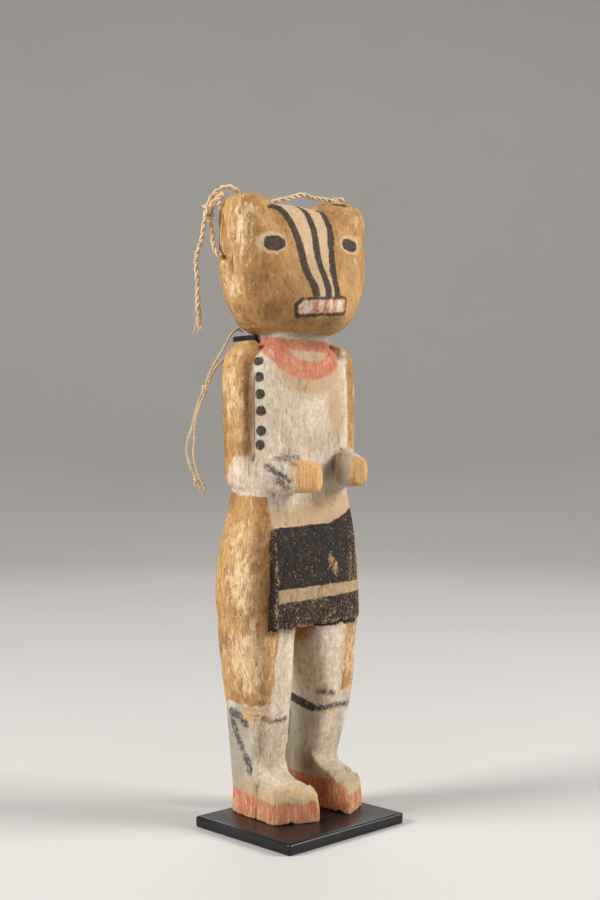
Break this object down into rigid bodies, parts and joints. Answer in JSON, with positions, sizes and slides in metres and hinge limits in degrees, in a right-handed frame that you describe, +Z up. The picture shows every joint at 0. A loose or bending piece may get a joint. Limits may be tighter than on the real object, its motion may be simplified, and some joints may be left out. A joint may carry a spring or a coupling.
{
  "type": "carved kachina doll on stand",
  "caption": "Carved and painted wooden badger kachina doll with folded arms, old twisted cords at its head and neck, held on a low black steel tray by a rod and neck fork.",
  "frame": {"origin": "middle of the footprint, on the surface that the tray stands on", "axes": "+Z up; the doll faces -Y; +X is the doll's own left"},
  "size_m": [0.0674, 0.05, 0.2298],
  "materials": {
    "stand_steel": "satin black",
    "painted_wood": "worn matte mineral paint on bare wood",
    "cotton": "old dusty cotton"
  },
  "bodies": {
    "root": {"stand_tray": "stand_steel", "stand_rod": "stand_steel", "neck_fork": "stand_steel", "figure": "painted_wood", "ear_cord": "cotton", "crown_cord": "cotton", "neck_cord": "cotton"}
  },
  "joints": []
}
